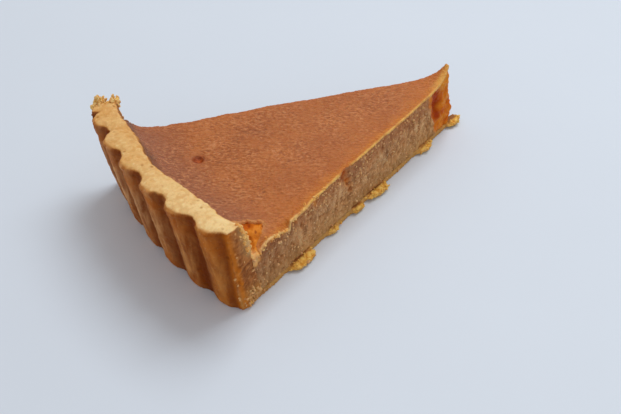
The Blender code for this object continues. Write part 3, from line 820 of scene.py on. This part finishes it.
def filling_material():
    """Set sugar filling: crumbly beige-brown at the cuts, amber and glassy at the torn tip."""
    finish = Finish(
        "sugar_fudge", 0.6, glow=(1.0, 0.45, 0.2),
        Subsurface_Weight=0.2, Subsurface_Scale=2.5 * MM, Specular_IOR_Level=0.05,
    )
    fine = finish.noise(1300.0, detail=6.0, roughness=0.7)
    broad = finish.noise(130.0, detail=3.0)
    drags = finish.noise(520.0, detail=4.0, stretch=(1.0, 1.0, 4.0))
    speckle = finish.noise(2300.0, detail=2.0)
    raised = finish.mask("raised")

    # The crumb at the cuts: mottled, dragged and speckled, with painted light and shade by its relief,
    # painted shade under the skin's edge, and darker by the wall
    # Painted light and shade: darker in the crumb's low places, paler on its raised ones
    crumb = finish.blend(finish.between(raised, 0.0, 0.5), (142, 88, 50), (194, 138, 90))
    crumb = finish.blend(finish.between(raised, 0.5, 1.0, 0.0, 0.8), crumb, (222, 174, 122))
    crumb = finish.blend(finish.between(broad, 0.4, 0.62, 0.0, 0.35), crumb, (200, 130, 78))
    greyer = finish.between(finish.noise(90.0, detail=2.0), 0.5, 0.62, 0.0, 0.45)
    crumb = finish.blend(greyer, crumb, (156, 116, 82))
    crumb = finish.blend(finish.between(drags, 0.53, 0.68, 0.0, 0.75), crumb, (230, 184, 132))
    crumb = finish.blend(finish.between(drags, 0.46, 0.34, 0.0, 0.55), crumb, (122, 80, 50))
    crumb = finish.blend(finish.between(speckle, 0.58, 0.68, 0.0, 0.55), crumb, (232, 190, 142))
    crumb = finish.blend(finish.between(speckle, 0.42, 0.32, 0.0, 0.5), crumb, (124, 74, 42))
    crumb = finish.blend(finish.between(finish.cells(560.0), 0.2, 0.1, 0.0, 0.8), crumb, (240, 204, 156))
    crumb = finish.stain(crumb, "low", 0.4, (192, 146, 84))
    # Painted shade under the skin's overhanging edge
    crumb = finish.stain(crumb, "shade_under_skin_edge", 0.5, (164, 98, 62))
    crumb = finish.stain(crumb, "by_wall", 0.3, (124, 70, 40))

    # Amber where the tip broke, and orange syrup in the gouges and under the torn skin, with painted shade in
    # its low places
    amber = finish.blend(finish.between(finish.noise(260.0), 0.35, 0.65), (204, 92, 8), (232, 144, 40))
    amber = finish.stain(amber, "upper_tip", 0.8, (224, 140, 44))
    amber = finish.blend(finish.mask("pocket"), amber, (172, 62, 6))
    colour = finish.blend(finish.mask("tip"), crumb, amber)
    orange = finish.blend(finish.between(broad, 0.35, 0.6), (196, 92, 10), (238, 152, 52))
    # Painted shade in the low places of the syrup
    orange = finish.blend(finish.between(raised, 0.55, 0.0, 0.0, 0.9), orange, (140, 50, 6))
    colour = finish.blend(finish.mask("orange"), colour, orange)
    colour = finish.stain(colour, "cream", 0.85, (240, 188, 122))
    glossy = finish.larger(finish.mask("tip"), finish.mask("orange"))
    finish.bump(fine, 0.4, 0.5 * MM)
    return finish.finished(colour, finish.between(glossy, 0.0, 1.0, 0.65, 0.36))


def skin_material():
    """Baked skin: orange-brown and semi-gloss, glowing orange-yellow where it was cut."""
    finish = Finish(
        "baked_skin", 0.42, glow=(1.0, 0.35, 0.12),
        Subsurface_Weight=0.15, Subsurface_Scale=2.0 * MM, Specular_IOR_Level=0.3,
    )
    broad = finish.noise(55.0, detail=3.0)
    patchy = finish.noise(240.0, detail=3.0)
    fine = finish.noise(1700.0, detail=3.0, roughness=0.65, stretch=(1.7, 1.0, 1.0), turn=WRINKLE_TURN)
    creases = finish.noise(1250.0, detail=2.0, roughness=0.5, stretch=(1.9, 1.0, 1.0), turn=WRINKLE_TURN)
    cloudy = finish.between(finish.noise(130.0, detail=3.0), 0.38, 0.58, 0.35, 1.0)

    # Broad browning, darker and greyer by the wall with a painted sheen of reflected sky, and warmer at the
    # tip, under painted glints and shade on the fine wrinkles and creases
    colour = finish.blend(finish.between(broad, 0.35, 0.65), (177, 98, 42), (195, 113, 51))
    # Painted sheen: the skin painted greyer towards the wall, where it reflects the sky
    colour = finish.blend(finish.between(finish.mask("sheen_towards_wall"), 0.2, 1.0, 0.0, 0.8), colour, (150, 90, 64))
    colour = finish.stain(colour, "tip", 0.8, (210, 120, 44))
    # Painted glints on the wrinkles' crests and painted shade in their creases
    grain = (
        (finish.between(fine, 0.52, 0.62, 0.0, 0.5), (222, 152, 100)),
        (finish.between(fine, 0.48, 0.38, 0.0, 0.35), (136, 70, 34)),
        (finish.between(creases, 0.55, 0.66, 0.0, 0.45), (222, 152, 100)),
        (finish.between(creases, 0.46, 0.36, 0.0, 0.5), (132, 66, 28)),
    )
    for share, tone in grain:
        colour = finish.blend(finish.product(cloudy, share), colour, tone)

    # The glow along both cuts, the painted highlight along the near edge, and the torn and burst places
    amber = finish.blend(finish.between(patchy, 0.35, 0.65), (188, 94, 16), (216, 128, 40))
    colour = finish.stain(colour, "near_glow", finish.between(patchy, 0.3, 0.6, 0.6, 1.0), amber)
    colour = finish.stain(colour, "far_glow", 0.6, (190, 104, 44))
    golden = finish.blend(finish.between(fine, 0.4, 0.6), (190, 100, 22), (216, 134, 44))
    colour = finish.blend(finish.mask("band"), colour, golden)
    colour = finish.stain(colour, "side", 0.7, (196, 104, 22))
    colour = finish.stain(colour, "below_line", 0.85, (162, 84, 22))
    # Painted highlight: the cut edge of the skin catching the light, as a bright line
    line = finish.blend(finish.mask("pale_stretch"), (252, 196, 100), (250, 204, 132))
    colour = finish.stain(colour, "edge_highlight", finish.between(patchy, 0.38, 0.55, 0.55, 1.0), line)
    colour = finish.stain(colour, "torn_edge", 0.85, (228, 154, 86))
    colour = finish.stain(colour, "peak", 0.85, (242, 180, 86))
    colour = finish.stain(colour, "wall_edge", finish.between(patchy, 0.35, 0.6, 0.4, 0.9), (118, 74, 46))
    syrup = finish.blend(finish.between(fine, 0.4, 0.6), (140, 50, 6), (202, 98, 30))
    colour = finish.blend(finish.mask("pit"), colour, syrup)
    colour = finish.stain(colour, "pit_edge", 0.5, (134, 66, 34))
    finish.bump(finish.sum(fine, finish.product(creases, 0.6)), 0.9, 0.6 * MM)
    return finish.finished(colour, finish.between(fine, 0.3, 0.7, 0.36, 0.5))


def crumb_material(name, light, dark):
    """A matte crumb finish, mottled between two colours."""
    finish = Finish(name, 0.75, Subsurface_Weight=0.1, Subsurface_Scale=1.0 * MM, Specular_IOR_Level=0.07)
    fine = finish.noise(900.0, detail=4.0)
    finish.bump(fine, 0.4, 0.4 * MM)
    return finish.finished(finish.blend(finish.between(fine, 0.35, 0.65), dark, light))


def floor_material():
    """A plain pale floor, very slightly uneven in colour."""
    finish = Finish("pale_floor", 0.5, Specular_IOR_Level=0.3)
    return finish.finished(finish.blend(finish.noise(12.0), (213, 222, 234), (217, 226, 238)))


# Floor, light and camera

def make_floor():
    """A plain floor at the slice's foot."""
    deselect_all()
    bpy.ops.mesh.primitive_plane_add(size=FLOOR_SIZE, location=(0.0, 0.0, 0.0))
    floor = bpy.context.object
    floor.name = "pale_floor"
    floor.data.materials.append(floor_material())


def make_light(name, place, size, power, colour):
    """A soft square lamp that looks at the slice."""
    lamp = bpy.data.lights.new(name, "AREA")
    lamp.size = size
    lamp.energy = power
    lamp.color = colour
    holder = bpy.data.objects.new(name, lamp)
    holder.location = place
    holder.rotation_euler = (-Vector(place)).to_track_quat("-Z", "Y").to_euler()
    bpy.context.scene.collection.objects.link(holder)


def make_sky():
    """An even, soft light from all round."""
    world = bpy.data.worlds.new("soft_sky")
    world.use_nodes = True
    background = world.node_tree.nodes["Background"]
    background.inputs["Color"].default_value = (*SKY_COLOUR, 1.0)
    background.inputs["Strength"].default_value = SKY_STRENGTH
    bpy.context.scene.world = world


def make_camera():
    """A camera at the photograph's viewing angle, looking down on the near cut and the flutes."""
    camera = bpy.data.cameras.new("camera")
    camera.lens = CAMERA_LENS
    camera.sensor_width = SENSOR_WIDTH
    camera.clip_start = 10.0 * MM
    holder = bpy.data.objects.new("camera", camera)
    turned = Euler((math.pi / 2 - CAMERA_ELEVATION, 0.0, CAMERA_AZIMUTH)).to_matrix()
    rolled = turned @ Matrix.Rotation(CAMERA_ROLL, 3, "Z")
    holder.matrix_world = Matrix.Translation(TIP_AXIS + CAMERA_FROM_TIP) @ rolled.to_4x4()
    bpy.context.scene.collection.objects.link(holder)
    bpy.context.scene.camera = holder


def set_stage():
    """Everything that isn't part of the slice."""
    make_floor()
    make_sky()
    for name, (place, size, power, colour) in LAMPS.items():
        make_light(name, place, size, power, colour)
    make_camera()
    bpy.context.scene.view_settings.view_transform = "Standard"


crust = make_crust()
filling = make_filling()
skin = make_skin()
make_crumbs(crust, filling, skin)
set_stage()
